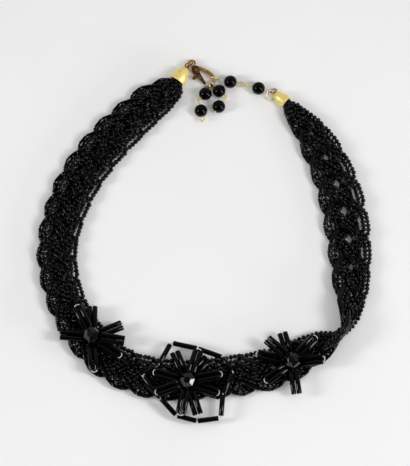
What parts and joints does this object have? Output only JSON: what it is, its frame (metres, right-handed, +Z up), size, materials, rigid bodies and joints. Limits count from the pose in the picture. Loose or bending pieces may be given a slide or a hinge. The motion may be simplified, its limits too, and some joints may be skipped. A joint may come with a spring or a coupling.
{
  "type": "beaded choker",
  "caption": "Woven bead choker with bugle-bead flowers, end caps, a lobster clasp and a short bead extender, lying as a closed loop.",
  "frame": {"origin": "middle of the outline in plan, on the surface that the choker lies on", "axes": "+Z up off the surface, +Y from the flowers towards the clasp, +X to the right in the picture"},
  "size_m": [0.1552, 0.1746, 0.014],
  "materials": {
    "braid_beads": "polished black glass seed and tube beads",
    "round_beads": "polished black glass",
    "faceted_beads": "cut and polished black glass",
    "bugle_beads": "polished black glass tubes",
    "end_caps": "bright gold-coloured plating",
    "clasp": "antique gold-coloured plating",
    "wire": "pale gold-coloured wire"
  },
  "bodies": {
    "choker": {"braid_ribbon_1": "braid_beads", "braid_ribbon_2": "braid_beads", "braid_ribbon_3": "braid_beads", "braid_ribbon_4": "braid_beads", "left_end_cap": "end_caps", "right_end_cap": "end_caps", "left_cap_loop": "wire", "right_cap_loop": "wire", "clasp_jump_ring": "wire", "clasp_body": "clasp", "clasp_pin": "clasp", "extender_bead_1": "round_beads", "extender_bead_2": "round_beads", "extender_bead_3": "round_beads", "extender_bead_4": "round_beads", "extender_bead_5": "round_beads", "extender_bead_6": "round_beads", "extender_wire_1": "wire", "extender_wire_2": "wire", "extender_wire_3": "wire", "extender_wire_4": "wire", "extender_wire_5": "wire", "extender_wire_6": "wire", "left_flower_bead": "faceted_beads", "centre_flower_bead": "faceted_beads", "right_flower_bead": "faceted_beads", "left_petal_1": "bugle_beads", "left_petal_2": "bugle_beads", "left_petal_3": "bugle_beads", "left_petal_4": "bugle_beads", "left_petal_5": "bugle_beads", "left_petal_6": "bugle_beads", "left_petal_7": "bugle_beads", "centre_petal_1": "bugle_beads", "centre_petal_2": "bugle_beads", "centre_petal_3": "bugle_beads", "centre_petal_4": "bugle_beads", "centre_petal_5": "bugle_beads", "centre_petal_6": "bugle_beads", "centre_petal_7": "bugle_beads", "centre_petal_8": "bugle_beads", "centre_petal_9": "bugle_beads", "right_petal_1": "bugle_beads", "right_petal_2": "bugle_beads", "right_petal_3": "bugle_beads", "right_petal_4": "bugle_beads", "right_petal_5": "bugle_beads", "right_petal_6": "bugle_beads", "right_petal_7": "bugle_beads", "centre_frame": "bugle_beads"},
    "lever": {"clasp_lever": "clasp"}
  },
  "joints": [
    {"name": "lever_hinge", "type": "hinge", "parent": "choker", "child": "lever", "pos_m": [-0.00373, 0.08226, 0.0017], "axis": [0, 0, 1], "range_deg": [0, 18], "stiffness_Nm_per_rad": 0.0006, "springref_deg": -20.05}
  ]
}
